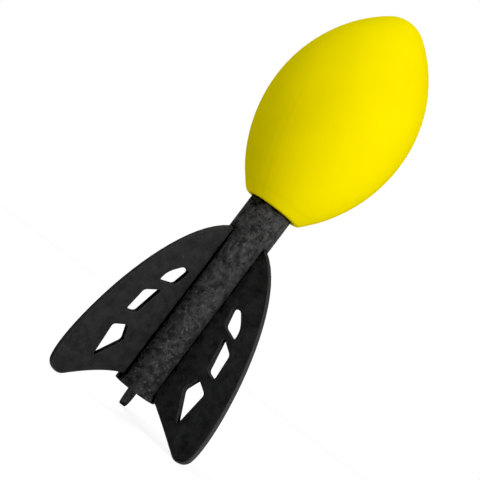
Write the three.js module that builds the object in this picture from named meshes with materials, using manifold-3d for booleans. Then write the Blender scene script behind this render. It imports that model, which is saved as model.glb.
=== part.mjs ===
// A finned throwing toy: a moulded foam football on a foam-sleeved tail with three die-cut fins.
// Millimetres, with +Z from the tail to the nose and the origin in the middle of the tail's end face.

import * as THREE from 'three';
import { mergeVertices } from 'three/addons/utils/BufferGeometryUtils.js';
import Module from 'manifold-3d';

// Head: a football of skinned foam, drawn with four arcs
const HEAD_DIAMETER = 97;
const HEAD_REAR_LENGTH = 69.5; // from the rear face to the belly
const HEAD_NOSE_LENGTH = 77.1; // from the belly to the tip of the nose
const HEAD_REAR_DIAMETER = 40; // where the rear arc would meet the rear face if its rim were sharp
const NOSE_TIP_RADIUS = 21.7;
const REAR_RIM_RADIUS = 3;

// Tail: a foam sleeve over a stiff core tube
const TAIL_LENGTH = 141.5; // from the tail's end face to the head's rear face
const SLEEVE_DIAMETER = 30;
const SLEEVE_SEAT_DEPTH = 20; // of the sleeve inside the head
const SLEEVE_EDGE_RADIUS = 0.5;
const CORE_DIAMETER = 12;
const CORE_WALL = 1.5;
const CORE_SEAT_DEPTH = 75; // of the core inside the head

// Anchor plug: a spigot in the core, a collar on its end and barbs that the head's foam grips
const PLUG_SPIGOT_LENGTH = 14;
const ANCHOR_COLLAR_DIAMETER = 18;
const ANCHOR_COLLAR_THICKNESS = 2.5;
const ANCHOR_NECK_DIAMETER = 9;
const ANCHOR_NECK_LENGTH = 4;
const ANCHOR_BARB_DIAMETER = 16;
const ANCHOR_BARB_LENGTH = 5;
const ANCHOR_BARB_COUNT = 2;

// Tail plug: the same spigot, with a flange that closes the core's end
const TAIL_FLANGE_THICKNESS = 2;
const PLUG_CHAMFER = 0.6;

// Fins: flat sheets of foam, each with its root in a slot of the sleeve
const FIN_COUNT = 3;
const FIN_AZIMUTH = 90; // degrees, of the second fin; the others follow at equal steps
const FIN_THICKNESS = 4.8;
const FIN_TIP_REACH = 60.2; // from the axis to the outside of the tip's arc
const FIN_ROOT_LENGTH = 112.8;
const FIN_ROOT_MARGIN = 5; // of bare sleeve between the root and the tail's end face
const FIN_DROP = 16.9; // of the tips below the tail's end face
const FIN_TIP_RADIUS = 7.8;
const FIN_EDGE_RADIUS = 0.5;
const SLOT_DEPTH = 5;

// The leading edge is one cubic curve and the trailing edge one quadratic curve, each tangent to the tip's arc.
// Angles are in degrees round the tip's centre. Shares are of the fin's span and of its root length.
const LEADING_TIP_ANGLE = -18;
const TRAILING_TIP_ANGLE = -130;
const LEADING_ROOT_HANDLE_SHARES = [0.81, 0.19];
const LEADING_TIP_HANDLE_SHARE = 0.165;
const TRAILING_HANDLE_SHARE = 0.56;

// Cutouts: corners as shares of the fin's span and of its root length, anticlockwise
const HOLE_CORNER_CUT = 2; // length that a rounded corner takes off each side
const BOWED_CORNER_CUT = 8; // the same at the wide corner that bows the top cutout's outer side
const TOP_BOWED_CORNER = 2; // that corner's place in the list
const TOP_HOLE_SHARES = [[0.203, 0.543], [0.445, 0.51], [0.421, 0.579], [0.254, 0.657], [0.137, 0.652]];
const MIDDLE_HOLE_SHARES = [[0.412, 0.297], [0.569, 0.278], [0.532, 0.43], [0.309, 0.486]];
const LOWER_HOLE_SHARES = [[0.297, 0.139], [0.535, -0.031], [0.588, 0.183], [0.388, 0.227]];

// Clearance between neighbours, the overrun of a cut past a surface, and the fineness of the facets
const FIT_GAP = 0.3;
const OVERRUN = 1;
const TURN_SEGMENTS = 60;
const CHORD_ERROR = 0.07;
const EDGE_STEPS = 16;
const CORNER_STEPS = 4;
const BEVEL_STEPS = 2;

// Heights and radii that neighbours share
const sleeveRadius = SLEEVE_DIAMETER / 2;
const coreRadius = CORE_DIAMETER / 2;
const spigotRadius = coreRadius - CORE_WALL - FIT_GAP;
const slotFloor = sleeveRadius - SLOT_DEPTH;
const sleeveShoulder = TAIL_LENGTH + SLEEVE_SEAT_DEPTH;
const coreFront = TAIL_LENGTH + CORE_SEAT_DEPTH;
const coreRear = TAIL_FLANGE_THICKNESS + FIT_GAP;
const bellyHeight = TAIL_LENGTH + HEAD_REAR_LENGTH;

const foamYellow = new THREE.MeshStandardMaterial({ color: '#f0e000', roughness: 0.45, metalness: 0 });
const foamCharcoal = new THREE.MeshStandardMaterial({ color: '#3b3b3d', roughness: 0.95, metalness: 0 });
const foamBlack = new THREE.MeshStandardMaterial({ color: '#232426', roughness: 0.85, metalness: 0 });
const plasticNatural = new THREE.MeshStandardMaterial({ color: '#dcdad2', roughness: 0.5, metalness: 0 });
const plasticBlack = new THREE.MeshStandardMaterial({ color: '#1b1b1c', roughness: 0.5, metalness: 0 });

const wasm = await Module();
wasm.setup();

// A closed geometry as a manifold solid, which needs shared vertices and positions alone.
function toSolid(geometry) {
  const bare = geometry.clone();
  bare.deleteAttribute('normal');
  bare.deleteAttribute('uv');
  const merged = mergeVertices(bare);
  return new wasm.Manifold(new wasm.Mesh({
    numProp: merged.attributes.position.itemSize,
    vertProperties: merged.attributes.position.array,
    triVerts: new Uint32Array(merged.index.array),
  }));
}

function fromSolid(solid) {
  const mesh = solid.getMesh();
  const geometry = new THREE.BufferGeometry();
  geometry.setAttribute('position', new THREE.BufferAttribute(mesh.vertProperties, mesh.numProp));
  geometry.setIndex(new THREE.BufferAttribute(mesh.triVerts, 1));
  geometry.computeVertexNormals();
  return geometry;
}

// Points are radius and height; the solid is turned round +Z.
function revolve(points) {
  return new THREE.LatheGeometry(points, TURN_SEGMENTS).rotateX(Math.PI / 2);
}

// An arc's chords stray from it by no more than the chord error.
function arcPoints(centre, radius, from, to) {
  const widest = 2 * Math.acos(Math.max(1 - CHORD_ERROR / radius, 0));
  const steps = Math.ceil(Math.abs(to - from) / widest);
  return Array.from({ length: steps + 1 }, (_, i) => {
    const angle = from + (to - from) * i / steps;
    return new THREE.Vector2(centre.x + radius * Math.cos(angle), centre.y + radius * Math.sin(angle));
  });
}

// The anchor's outline above the core's front end, from its collar's underside to its top.
// A clearance grows it on every side, which gives the chamber that the head's foam forms round it.
function anchorOutline(clearance) {
  const neck = ANCHOR_NECK_DIAMETER / 2 + clearance;
  const collar = ANCHOR_COLLAR_DIAMETER / 2 + clearance;
  const barb = ANCHOR_BARB_DIAMETER / 2 + clearance;
  let height = coreFront + FIT_GAP;
  const points = [new THREE.Vector2(collar, height - clearance)];
  height += ANCHOR_COLLAR_THICKNESS;
  points.push(new THREE.Vector2(collar, height + clearance), new THREE.Vector2(neck, height + clearance));
  for (let i = 0; i < ANCHOR_BARB_COUNT; i += 1) {
    height += ANCHOR_NECK_LENGTH;
    points.push(new THREE.Vector2(neck, height - clearance), new THREE.Vector2(barb, height - clearance));
    points.push(new THREE.Vector2(barb, height + clearance));
    height += ANCHOR_BARB_LENGTH;
    points.push(new THREE.Vector2(neck, height + clearance));
  }
  points.push(new THREE.Vector2(0, height + clearance));
  return points;
}

// The football's outside: rim, rear arc up to the belly, nose arc, tip.
// Both long arcs stand upright at the belly. The rear arc passes through the rear face's sharp rim, and the nose
// arc is the one whose tangent tip arc ends at the nose.
function headOutline() {
  const belly = HEAD_DIAMETER / 2;
  const inset = belly - HEAD_REAR_DIAMETER / 2;
  const rearRadius = (HEAD_REAR_LENGTH ** 2 + inset ** 2) / (2 * inset);
  const rearCentre = new THREE.Vector2(belly - rearRadius, bellyHeight);
  const rimRise = HEAD_REAR_LENGTH - REAR_RIM_RADIUS;
  const rimCentre = new THREE.Vector2(
    rearCentre.x + Math.sqrt((rearRadius - REAR_RIM_RADIUS) ** 2 - rimRise ** 2),
    TAIL_LENGTH + REAR_RIM_RADIUS,
  );
  const rimAngle = rimCentre.clone().sub(rearCentre).angle() - 2 * Math.PI;

  const tipRise = HEAD_NOSE_LENGTH - NOSE_TIP_RADIUS;
  const noseRadius = (belly ** 2 - NOSE_TIP_RADIUS ** 2 + tipRise ** 2) / (2 * (belly - NOSE_TIP_RADIUS));
  const noseCentre = new THREE.Vector2(belly - noseRadius, bellyHeight);
  const tipCentre = new THREE.Vector2(0, bellyHeight + tipRise);
  const tipAngle = tipCentre.clone().sub(noseCentre).angle();

  return [
    ...arcPoints(rimCentre, REAR_RIM_RADIUS, -Math.PI / 2, rimAngle),
    ...arcPoints(rearCentre, rearRadius, rimAngle, 0).slice(1),
    ...arcPoints(noseCentre, noseRadius, 0, tipAngle).slice(1),
    ...arcPoints(tipCentre, NOSE_TIP_RADIUS, tipAngle, Math.PI / 2).slice(1, -1),
    new THREE.Vector2(0, bellyHeight + HEAD_NOSE_LENGTH),
  ];
}

// The socket runs back from the anchor's chamber: the core's bore, then the wider seat of the sleeve.
function headGeometry() {
  const coreBore = coreRadius + FIT_GAP;
  const sleeveBore = sleeveRadius + FIT_GAP;
  return revolve([
    ...anchorOutline(FIT_GAP).reverse(),
    new THREE.Vector2(coreBore, coreFront),
    new THREE.Vector2(coreBore, sleeveShoulder),
    new THREE.Vector2(sleeveBore, sleeveShoulder),
    new THREE.Vector2(sleeveBore, TAIL_LENGTH),
    ...headOutline(),
  ]);
}

// The sleeve is a tube with eased ends, cut by one slot for each fin's root.
function sleeveGeometry() {
  const bore = coreRadius + FIT_GAP;
  const front = sleeveShoulder - FIT_GAP;
  const edge = sleeveRadius - SLEEVE_EDGE_RADIUS;
  const rearEdge = new THREE.Vector2(edge, SLEEVE_EDGE_RADIUS);
  const frontEdge = new THREE.Vector2(edge, front - SLEEVE_EDGE_RADIUS);
  const start = new THREE.Vector2(bore, 0);
  let solid = toSolid(revolve([
    start,
    ...arcPoints(rearEdge, SLEEVE_EDGE_RADIUS, -Math.PI / 2, 0),
    ...arcPoints(frontEdge, SLEEVE_EDGE_RADIUS, 0, Math.PI / 2),
    new THREE.Vector2(bore, front),
    start,
  ]));
  const slotLength = FIN_ROOT_LENGTH + 2 * FIT_GAP;
  const slotReach = SLOT_DEPTH + OVERRUN;
  const slot = new THREE.BoxGeometry(slotReach, FIN_THICKNESS + 2 * FIT_GAP, slotLength);
  slot.translate(slotFloor + slotReach / 2, 0, FIN_ROOT_MARGIN + FIN_ROOT_LENGTH / 2);
  for (const azimuth of finAzimuths()) {
    solid = solid.subtract(toSolid(slot.clone().rotateZ(azimuth)));
  }
  return fromSolid(solid);
}

function coreGeometry() {
  const inner = coreRadius - CORE_WALL;
  const start = new THREE.Vector2(inner, coreRear);
  return revolve([
    start,
    new THREE.Vector2(coreRadius, coreRear),
    new THREE.Vector2(coreRadius, coreFront),
    new THREE.Vector2(inner, coreFront),
    start,
  ]);
}

function anchorGeometry() {
  const spigotEnd = coreFront - PLUG_SPIGOT_LENGTH;
  return revolve([
    new THREE.Vector2(0, spigotEnd),
    new THREE.Vector2(spigotRadius - PLUG_CHAMFER, spigotEnd),
    new THREE.Vector2(spigotRadius, spigotEnd + PLUG_CHAMFER),
    new THREE.Vector2(spigotRadius, coreFront + FIT_GAP),
    ...anchorOutline(0),
  ]);
}

function tailPlugGeometry() {
  const spigotEnd = coreRear + PLUG_SPIGOT_LENGTH;
  return revolve([
    new THREE.Vector2(0, 0),
    new THREE.Vector2(coreRadius - PLUG_CHAMFER, 0),
    new THREE.Vector2(coreRadius, PLUG_CHAMFER),
    new THREE.Vector2(coreRadius, TAIL_FLANGE_THICKNESS),
    new THREE.Vector2(spigotRadius, TAIL_FLANGE_THICKNESS),
    new THREE.Vector2(spigotRadius, spigotEnd - PLUG_CHAMFER),
    new THREE.Vector2(spigotRadius - PLUG_CHAMFER, spigotEnd),
    new THREE.Vector2(0, spigotEnd),
  ]);
}

function finAzimuths() {
  const step = 2 * Math.PI / FIN_COUNT;
  const middle = THREE.MathUtils.degToRad(FIN_AZIMUTH);
  return Array.from({ length: FIN_COUNT }, (_, i) => middle + (i - 1) * step);
}

// A point on the circle of the tip, and the direction of travel round it, anticlockwise.
function tipPoint(centre, degrees) {
  const angle = THREE.MathUtils.degToRad(degrees);
  const outward = new THREE.Vector2(Math.cos(angle), Math.sin(angle));
  return {
    angle,
    point: outward.clone().multiplyScalar(FIN_TIP_RADIUS).add(centre),
    travel: new THREE.Vector2(-outward.y, outward.x),
  };
}

// In the fin's own plane, x runs out from the axis and y up it.
function finOutline() {
  const span = FIN_TIP_REACH - sleeveRadius;
  const rootTop = FIN_ROOT_MARGIN + FIN_ROOT_LENGTH;
  const tongue = slotFloor + FIT_GAP;
  const tipCentre = new THREE.Vector2(FIN_TIP_REACH - FIN_TIP_RADIUS, FIN_TIP_RADIUS - FIN_DROP);
  const trailing = tipPoint(tipCentre, TRAILING_TIP_ANGLE);
  const leading = tipPoint(tipCentre, LEADING_TIP_ANGLE);
  const trailingRoot = new THREE.Vector2(sleeveRadius, FIN_ROOT_MARGIN);
  const leadingRoot = new THREE.Vector2(sleeveRadius, rootTop);

  const trailingEdge = new THREE.QuadraticBezierCurve(
    trailingRoot,
    trailing.point.clone().addScaledVector(trailing.travel, -TRAILING_HANDLE_SHARE * span),
    trailing.point,
  );
  const leadingEdge = new THREE.CubicBezierCurve(
    leading.point,
    leading.point.clone().addScaledVector(leading.travel, LEADING_TIP_HANDLE_SHARE * FIN_ROOT_LENGTH),
    leadingRoot.clone().add(new THREE.Vector2(
      LEADING_ROOT_HANDLE_SHARES[0] * span,
      -LEADING_ROOT_HANDLE_SHARES[1] * FIN_ROOT_LENGTH,
    )),
    leadingRoot,
  );
  return [
    new THREE.Vector2(tongue, FIN_ROOT_MARGIN),
    ...trailingEdge.getPoints(EDGE_STEPS / 2),
    ...arcPoints(tipCentre, FIN_TIP_RADIUS, trailing.angle, leading.angle).slice(1, -1),
    ...leadingEdge.getPoints(EDGE_STEPS),
    new THREE.Vector2(tongue, rootTop),
  ];
}

// A polygon whose corners are rounded, each by a curve that starts and ends its cut away from the corner.
function roundedPolygon(corners, bowedCorner) {
  return corners.flatMap((corner, i) => {
    const cut = i === bowedCorner ? BOWED_CORNER_CUT : HOLE_CORNER_CUT;
    const ends = [corners.at(i - 1), corners[(i + 1) % corners.length]].map((next) => {
      const side = next.clone().sub(corner);
      return side.setLength(Math.min(cut, side.length() / 2)).add(corner);
    });
    return new THREE.QuadraticBezierCurve(ends[0], corner, ends[1]).getPoints(CORNER_STEPS);
  });
}

function finHoles() {
  const span = FIN_TIP_REACH - sleeveRadius;
  const place = ([across, along]) => new THREE.Vector2(
    sleeveRadius + across * span,
    FIN_ROOT_MARGIN + along * FIN_ROOT_LENGTH,
  );
  return [
    roundedPolygon(TOP_HOLE_SHARES.map(place), TOP_BOWED_CORNER),
    roundedPolygon(MIDDLE_HOLE_SHARES.map(place)),
    roundedPolygon(LOWER_HOLE_SHARES.map(place)),
  ].map((points) => new THREE.Path(points));
}

function finGeometry() {
  const shape = new THREE.Shape(finOutline());
  shape.holes = finHoles();
  const geometry = new THREE.ExtrudeGeometry(shape, {
    depth: FIN_THICKNESS - 2 * FIN_EDGE_RADIUS,
    bevelThickness: FIN_EDGE_RADIUS,
    bevelSize: FIN_EDGE_RADIUS,
    bevelOffset: -FIN_EDGE_RADIUS,
    bevelSegments: BEVEL_STEPS,
  });
  geometry.translate(0, 0, FIN_EDGE_RADIUS - FIN_THICKNESS / 2);
  return geometry.rotateX(Math.PI / 2);
}

function addPiece(group, name, geometry, material) {
  const mesh = new THREE.Mesh(geometry, material);
  mesh.name = name;
  group.add(mesh);
  return mesh;
}

const toy = new THREE.Group();
addPiece(toy, 'head', headGeometry(), foamYellow);
addPiece(toy, 'tail_sleeve', sleeveGeometry(), foamCharcoal);
addPiece(toy, 'core_tube', coreGeometry(), plasticNatural);
addPiece(toy, 'anchor_plug', anchorGeometry(), plasticNatural);
addPiece(toy, 'tail_plug', tailPlugGeometry(), plasticBlack);

const finShape = finGeometry();
finAzimuths().forEach((azimuth, i) => {
  addPiece(toy, `fin_${i + 1}`, finShape, foamBlack).rotation.z = azimuth;
});

export default toy;
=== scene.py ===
# %% [markdown]
# # A finned throwing toy
# The toy is a moulded foam football on a foam-sleeved tail with three die-cut foam fins. It is thrown like
# a dart, and the fins keep it straight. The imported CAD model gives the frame: every piece here is made in
# metres in that frame, with +Z from the tail to the nose, so a piece goes where its CAD node is.

# %% Load the frame
import math

import bpy
from mathutils import Matrix, Vector


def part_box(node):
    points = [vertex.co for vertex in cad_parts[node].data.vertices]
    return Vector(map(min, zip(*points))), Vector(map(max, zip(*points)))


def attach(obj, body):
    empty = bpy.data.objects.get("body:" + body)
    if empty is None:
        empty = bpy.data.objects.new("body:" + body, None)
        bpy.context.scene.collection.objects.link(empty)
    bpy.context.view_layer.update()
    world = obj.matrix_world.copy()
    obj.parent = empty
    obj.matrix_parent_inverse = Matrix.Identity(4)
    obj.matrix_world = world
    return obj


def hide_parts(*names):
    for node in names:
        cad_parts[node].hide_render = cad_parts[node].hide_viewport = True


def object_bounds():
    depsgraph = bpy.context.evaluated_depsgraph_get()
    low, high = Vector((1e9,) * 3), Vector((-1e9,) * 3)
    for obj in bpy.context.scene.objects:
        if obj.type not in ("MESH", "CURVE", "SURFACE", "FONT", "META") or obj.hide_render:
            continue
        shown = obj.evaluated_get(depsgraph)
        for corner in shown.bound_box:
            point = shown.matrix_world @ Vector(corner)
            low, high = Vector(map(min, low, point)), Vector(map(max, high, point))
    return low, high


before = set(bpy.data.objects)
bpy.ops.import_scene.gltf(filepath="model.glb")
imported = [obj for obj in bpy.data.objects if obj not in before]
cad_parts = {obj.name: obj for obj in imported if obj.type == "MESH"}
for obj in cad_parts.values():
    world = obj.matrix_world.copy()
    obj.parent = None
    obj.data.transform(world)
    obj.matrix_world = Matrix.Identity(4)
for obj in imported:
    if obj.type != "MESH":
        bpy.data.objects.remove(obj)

cad_low, cad_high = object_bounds()
print("CAD nodes:", ", ".join(sorted(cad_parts)))
print("CAD box, mm:", [round(1000 * side) for side in cad_high - cad_low])

# %% [markdown]
# ## Camera
# A camera's place and lens decide how much nearer parts swell and how parallel lines close up. The picture
# was taken from a little over 0.8 m with a long lens, slightly below the middle of the toy and looking a
# little upwards. The toy leans to the right there, so here the camera rolls and the toy stands up.

# %% Camera
CAMERA_PLACE = Vector((-0.00912, -0.81143, 0.06785))
CAMERA_TURN = math.radians(0.365)  # to the right of +Y
CAMERA_LIFT = math.radians(3.249)  # above the horizon
CAMERA_ROLL = math.radians(37.084)
CAMERA_LENS, SENSOR_WIDTH = 97.585, 36  # millimetres


def add_object(name, data):
    made = bpy.data.objects.new(name, data)
    bpy.context.scene.collection.objects.link(made)
    return made


camera = add_object("camera", bpy.data.cameras.new("camera"))
camera.data.lens = CAMERA_LENS
camera.data.sensor_width = SENSOR_WIDTH
bpy.context.scene.camera = camera
camera.matrix_world = (
    Matrix.Translation(CAMERA_PLACE)
    @ Matrix.Rotation(-CAMERA_TURN, 4, "Z")
    @ Matrix.Rotation(math.radians(90) + CAMERA_LIFT, 4, "X")
    @ Matrix.Rotation(CAMERA_ROLL, 4, "Z")
)
print("camera distance, mm:", round(1000 * CAMERA_PLACE.length))

# %% [markdown]
# ## Helpers for node trees
# Materials and Geometry Nodes are both made of nodes, so one short function adds a node, sets its properties
# and fills its inputs. An input gets either a value or a link from another node's output. Small helpers then
# give the sums, the products and the coordinates that come back all the time.

# %% Any node
def add_node(tree, kind, inputs=None, **properties):
    node = tree.nodes.new(kind)
    for name, value in properties.items():
        setattr(node, name, value)
    for key, value in (inputs or {}).items():
        if isinstance(value, bpy.types.NodeSocket):
            tree.links.new(value, node.inputs[key])
        else:
            node.inputs[key].default_value = value
    return node


# %% Sums, ranges and noise
def add_math(tree, operation, first, second=0.0):
    return add_node(tree, "ShaderNodeMath", {0: first, 1: second}, operation=operation).outputs[0]


def add_product(tree, *factors):
    product = factors[0]
    for factor in factors[1:]:
        product = add_math(tree, "MULTIPLY", product, factor)
    return product


def add_gap(tree, value, middle=0.0):
    """How far a value is from the middle one, on either side."""
    return add_math(tree, "ABSOLUTE", add_math(tree, "SUBTRACT", value, middle))


def add_range(tree, value, low, high, to_low=0.0, to_high=1.0, **properties):
    """Turns the values from low to high into values from to_low to to_high, and holds them there outside."""
    inputs = {"Value": value, "From Min": low, "From Max": high, "To Min": to_low, "To Max": to_high}
    return add_node(tree, "ShaderNodeMapRange", inputs, **properties).outputs["Result"]


def add_noise(tree, place, scale, detail=2.0, rough=0.5):
    """A noise with about that many grains to the metre."""
    inputs = {"Vector": place, "Scale": scale, "Detail": detail, "Roughness": rough}
    return add_node(tree, "ShaderNodeTexNoise", inputs).outputs["Fac"]


# %% Vectors
def add_vector_math(tree, operation, first, second):
    return add_node(tree, "ShaderNodeVectorMath", {0: first, 1: second}, operation=operation).outputs[0]


def add_scaled(tree, vector, scale):
    return add_node(tree, "ShaderNodeVectorMath", {0: vector, "Scale": scale}, operation="SCALE").outputs[0]


def add_vector(tree, x=0.0, y=0.0, z=0.0):
    return add_node(tree, "ShaderNodeCombineXYZ", {0: x, 1: y, 2: z}).outputs[0]


def add_split(tree, vector):
    """The vector's coordinates, by the names X, Y and Z."""
    return add_node(tree, "ShaderNodeSeparateXYZ", {0: vector}).outputs


# %% [markdown]
# ## Stage
# The toy stands on white paper in front of a white world. White that really lit the toy from all sides would
# flatten the round head. So a Light Path node tells the camera's rays from the rays that carry light: the
# camera sees clean white, and the toy gets only a little light from the world and a natural bounce from the
# paper. The paper keeps a faint shadow, and it gets lighter away from the toy, where the lamps hardly reach.

# %% World
WORLD_LIGHT = 0.05
WHITE = (1, 1, 1, 1)


def empty_tree(owner):
    owner.use_nodes = True
    owner.node_tree.nodes.clear()
    return owner.node_tree


def real_or_seen(tree, real, seen):
    """The second shader for the rays that come from the camera, and the first for all others."""
    camera_ray = add_node(tree, "ShaderNodeLightPath").outputs["Is Camera Ray"]
    shaders = {0: camera_ray, 1: real.outputs[0], 2: seen.outputs[0]}
    return add_node(tree, "ShaderNodeMixShader", shaders).outputs[0]


world = bpy.data.worlds.new("white studio")
bpy.context.scene.world = world
sky = empty_tree(world)
lighting_white = add_node(sky, "ShaderNodeBackground", {"Color": WHITE, "Strength": WORLD_LIGHT})
seen_white = add_node(sky, "ShaderNodeBackground", {"Color": WHITE, "Strength": 1.0})
add_node(sky, "ShaderNodeOutputWorld", {"Surface": real_or_seen(sky, lighting_white, seen_white)})
print("world light:", WORLD_LIGHT)

# %% Floor
FLOOR_SIZE = 30.0
PAPER_GREY = 0.7  # share of the light that the paper throws back
SHADE_SHARE = 0.3  # share of the paper's real shading that the camera sees
NEAR_GLOW, FAR_GLOW = 0.84, 0.99  # white that is added for the camera, close to the toy and far off
GLOW_FROM, GLOW_TO = 0.5, 2.4  # metres from the toy over which it changes


def paper_shading(tree, grey):
    return add_node(tree, "ShaderNodeBsdfDiffuse", {"Color": (grey, grey, grey, 1)})


paper = bpy.data.materials.new("white paper")
tree = empty_tree(paper)
spot = add_node(tree, "ShaderNodeTexCoord").outputs["Object"]
distance = add_node(tree, "ShaderNodeVectorMath", {0: spot}, operation="LENGTH").outputs["Value"]
glow = add_range(tree, distance, GLOW_FROM, GLOW_TO, NEAR_GLOW, FAR_GLOW)
glowing = add_node(tree, "ShaderNodeEmission", {"Strength": glow})
shaded = paper_shading(tree, PAPER_GREY * SHADE_SHARE)
seen_paper = add_node(tree, "ShaderNodeAddShader", {0: shaded.outputs[0], 1: glowing.outputs[0]})
surface = real_or_seen(tree, paper_shading(tree, PAPER_GREY), seen_paper)
add_node(tree, "ShaderNodeOutputMaterial", {"Surface": surface})

half_floor = FLOOR_SIZE / 2
floor_mesh = bpy.data.meshes.new("floor")
floor_mesh.from_pydata(
    [(x * half_floor, y * half_floor, cad_low.z) for x, y in ((-1, -1), (1, -1), (1, 1), (-1, 1))],
    [],
    [(0, 1, 2, 3)],
)
floor_mesh.materials.append(paper)
floor = add_object("floor", floor_mesh)
print("floor height, mm:", round(1000 * cad_low.z, 1))

# %% [markdown]
# ## Lights
# The football shows where the lights stand. It is brightest a little to the right of its middle, fades
# evenly to the left, and its left edge and nose are still well lit. So a wide soft key light stands in front
# to the right, with a weaker one further round. A fill stands high on the left, and a fourth light behind
# the toy serves the views from the back. A picture of a studio could light the scene too, but four disks are
# enough and need no file.
# The black level takes a little off every value, as a camera's contrast setting does, so the narrow gaps
# between the black pieces read as black.

# %% Lights
LIGHT_DISTANCE = 1.5
LIGHT_SIZE = 1.0
BLACK_LEVEL = 0.02
NEUTRAL, COOL = (1.0, 1.0, 1.0), (0.94, 1.0, 1.0)

toy_middle = Vector((0, 0, (cad_low.z + cad_high.z) / 2))


def add_light(name, turn, lift, power, colour=NEUTRAL):
    """A soft disk of light, turned by degrees from the camera's side towards +X, and lifted above level."""
    light = bpy.data.lights.new(name, "AREA")
    light.shape = "DISK"
    light.size = LIGHT_SIZE
    light.energy = power
    light.color = colour
    turn, lift = math.radians(turn), math.radians(lift)
    level = math.cos(lift)
    out = Vector((math.sin(turn) * level, -math.cos(turn) * level, math.sin(lift)))
    lamp = add_object(name, light)
    lamp.location = toy_middle + out * LIGHT_DISTANCE
    lamp.rotation_euler = (-out).to_track_quat("-Z", "Y").to_euler()
    lamp.visible_camera = False


add_light("key light", turn=27, lift=22, power=16.6)
add_light("right fill", turn=72, lift=8, power=6.2)
add_light("left fill", turn=-83, lift=59, power=13.9, colour=COOL)
add_light("back light", turn=180, lift=25, power=13.0)

look = bpy.context.scene.view_settings
look.view_transform = "Standard"
look.use_curve_mapping = True
look.curve_mapping.black_level = (BLACK_LEVEL, BLACK_LEVEL, BLACK_LEVEL)
look.curve_mapping.update()

# %% [markdown]
# ## Materials
# Each finish is a Principled shader with procedural textures. Painted pictures would need files and an
# unwrapped mesh, and blur close up. The textures read Object coordinates, which are metres here because
# every piece sits unscaled at the origin, so a noise scale of 1000 gives grains of about 1 mm.

# %% Material helpers
def new_finish(name, roughness, specular):
    finish = bpy.data.materials.new(name)
    finish.use_nodes = True
    tree = finish.node_tree
    shader = tree.nodes["Principled BSDF"]
    shader.inputs["Roughness"].default_value = roughness
    shader.inputs["Specular IOR Level"].default_value = specular
    place = add_node(tree, "ShaderNodeTexCoord").outputs["Object"]
    return finish, tree, shader, place


def add_mix(tree, factor, first, second):
    return add_node(tree, "ShaderNodeMix", {0: factor, 6: first, 7: second}, data_type="RGBA").outputs[2]


def add_mark(tree, name):
    """A number from 0 to 1, or a length, that the mesh carries as a named attribute."""
    return add_node(tree, "ShaderNodeAttribute", attribute_name=name).outputs["Fac"]


def link_finish(finish, shader, colour, relief, relief_height, roughness=None):
    """Links a colour, a relief of that height in metres and, where it varies, a roughness."""
    tree = finish.node_tree
    bump = add_node(tree, "ShaderNodeBump", {"Height": relief, "Distance": relief_height})
    tree.links.new(bump.outputs["Normal"], shader.inputs["Normal"])
    tree.links.new(colour, shader.inputs["Base Color"])
    if roughness is not None:
        tree.links.new(roughness, shader.inputs["Roughness"])
    print(finish.name + ", nodes:", len(tree.nodes))


# %% [markdown]
# ### Yellow skin
# Moulded foam has a closed skin with hardly any shine. Its colour drifts a little over the football, and its
# surface has a very fine orange peel. A crease goes round it near the tail, where the mould's end plate met
# its walls, and along it the yellow is darker in patches. The patches could be painted in a picture, but the
# crease stands at one height, so the Z coordinate finds it.

# %% Yellow skin
YELLOW = (0.855, 0.703, 0.0, 1)
YELLOW_DEEP = (0.82, 0.675, 0.0, 1)
# The yellow in the darker patches along the crease.
YELLOW_AT_CREASE = (0.73, 0.62, 0.0, 1)
CREASE_HEIGHT = 0.0066  # above the football's rear face
CREASE_WIDTH = 0.0022
DRIFT_GRAINS, CREASE_PATCH_GRAINS, PEEL_GRAINS = 28, 60, 900
PEEL_HEIGHT = 0.00003
PEEL_ROUGHNESS = (0.72, 0.88)

yellow_skin, tree, shader, place = new_finish("yellow foam skin", roughness=0.8, specular=0.05)
drift = add_range(tree, add_noise(tree, place, DRIFT_GRAINS), 0.35, 0.65)
clean_yellow = add_mix(tree, drift, YELLOW, YELLOW_DEEP)
crease_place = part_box("head")[0].z + CREASE_HEIGHT
off_crease = add_gap(tree, add_split(tree, place)["Z"], crease_place)
# The yellow is darker in patches along the crease.
crease_patches = add_range(tree, add_noise(tree, place, CREASE_PATCH_GRAINS), 0.40, 0.60, 0.1, 0.45)
crease_darkening = add_product(tree, add_range(tree, off_crease, CREASE_WIDTH, 0.0), crease_patches)
yellow = add_mix(tree, crease_darkening, clean_yellow, YELLOW_AT_CREASE)
peel = add_noise(tree, place, PEEL_GRAINS, 3)
peel_roughness = add_range(tree, peel, 0.3, 0.7, *PEEL_ROUGHNESS)
link_finish(yellow_skin, shader, yellow, peel, PEEL_HEIGHT, peel_roughness)

# %% [markdown]
# ### Speckled sleeve foam
# The sleeve is cut from a block of grey and black crumbs. Its pattern has soft grey clouds of a few
# millimetres, light flecks and short light curls, and scattered dark pits. The pits use the same Voronoi
# pattern as the Geometry Nodes that dent the sleeve's mesh, so colour and shape agree. A noise bends the
# pattern, because torn cells are never round. Each Voronoi cell also has a random colour, and its red value
# sets the size of the cell's pit.

# %% Pit pattern
CELL_SCALE = 300.0  # cells to the metre
BEND_GRAINS = 420.0
CELL_BEND = 0.0035  # metres by which the noise bends the pattern
SMALL_PIT, LARGE_PIT = 0.08, 0.30  # radius of a pit, as a share of the space between cells


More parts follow.
